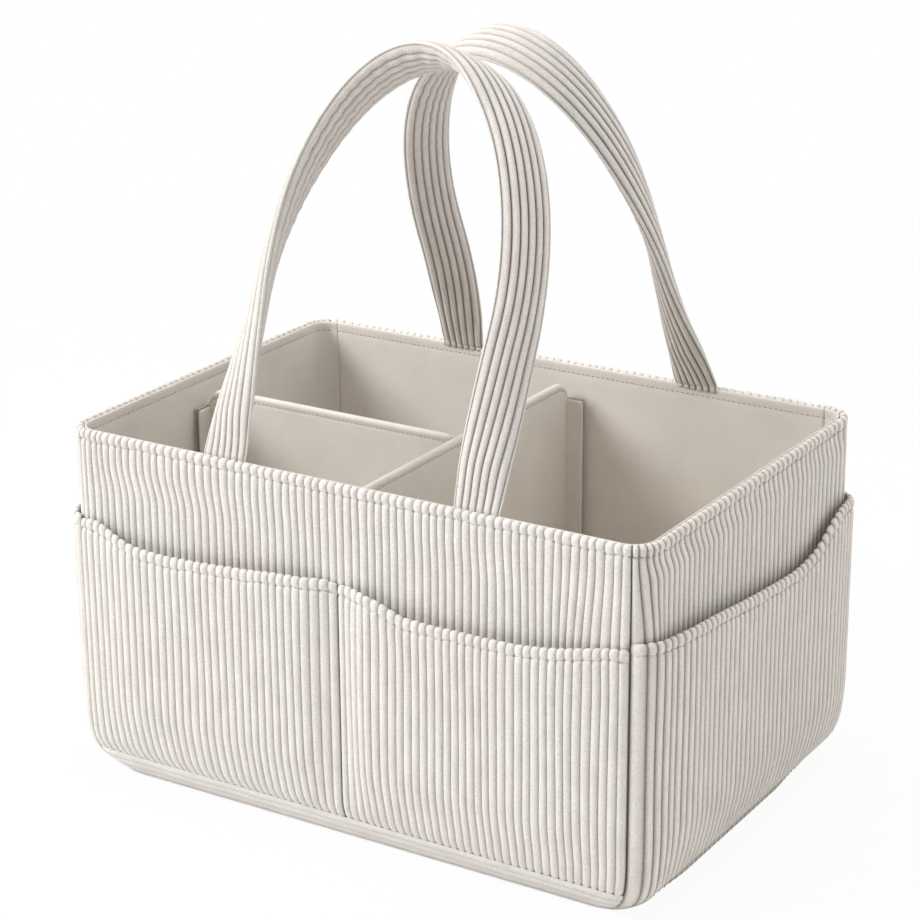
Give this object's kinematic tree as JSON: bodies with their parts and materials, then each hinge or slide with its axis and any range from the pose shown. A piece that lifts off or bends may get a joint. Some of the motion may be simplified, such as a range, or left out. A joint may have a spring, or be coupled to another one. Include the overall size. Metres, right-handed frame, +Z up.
{
  "type": "diaper caddy",
  "caption": "Open corduroy caddy with tucked-in base, two strap handles, outside pockets all round and lift-out dividers.",
  "frame": {"origin": "on the surface the caddy stands on, under the middle of its base", "axes": "+Z up, +X along the long sides to the right as seen from the front, -Y the front"},
  "size_m": [0.3976, 0.2776, 0.4416],
  "materials": {
    "corduroy": "wide-wale cotton corduroy, cream with a mauve-grey groove",
    "lining": "smooth grey-beige woven lining",
    "felt": "stiff needled felt",
    "board": "thin plain plastic board",
    "padding": "soft wadding",
    "tape": "hook and loop tape"
  },
  "bodies": {
    "tote": {"front_panel": "corduroy", "front_stiffener": "felt", "front_lining": "lining", "right_panel": "corduroy", "right_stiffener": "felt", "right_lining": "lining", "back_panel": "corduroy", "back_stiffener": "felt", "back_lining": "lining", "left_panel": "corduroy", "left_stiffener": "felt", "left_lining": "lining", "base_panel": "corduroy", "base_board": "board", "base_lining": "lining", "front_left_pocket": "corduroy", "front_right_pocket": "corduroy", "back_left_pocket": "corduroy", "back_right_pocket": "corduroy", "right_pocket": "corduroy", "left_pocket": "corduroy", "front_loop_strip": "tape", "back_loop_strip": "tape", "left_loop_strip": "tape"},
    "front_handle": {"front_handle_cover": "corduroy", "front_handle_padding": "padding"},
    "back_handle": {"back_handle_cover": "corduroy", "back_handle_padding": "padding"},
    "centre_divider": {"centre_divider_cover": "lining", "centre_divider_board": "board", "centre_divider_front_hook": "tape", "centre_divider_back_hook": "tape", "centre_divider_loop_strip": "tape"},
    "cross_divider": {"cross_divider_cover": "lining", "cross_divider_board": "board", "cross_divider_left_hook": "tape", "cross_divider_right_hook": "tape"}
  },
  "joints": [
    {"name": "front_handle", "type": "hinge", "parent": "tote", "child": "front_handle", "pos_m": [0, -0.13, 0.218], "axis": [1, 0, 0], "range_deg": [-2, 170]},
    {"name": "back_handle", "type": "hinge", "parent": "tote", "child": "back_handle", "pos_m": [0, 0.13, 0.218], "axis": [-1, 0, 0], "range_deg": [-2, 170]},
    {"name": "centre_divider", "type": "slide", "parent": "tote", "child": "centre_divider", "axis": [0, 0, 1], "range_m": [0, 0.16]},
    {"name": "cross_divider", "type": "slide", "parent": "tote", "child": "cross_divider", "axis": [0, 0, 1], "range_m": [0, 0.16]}
  ]
}
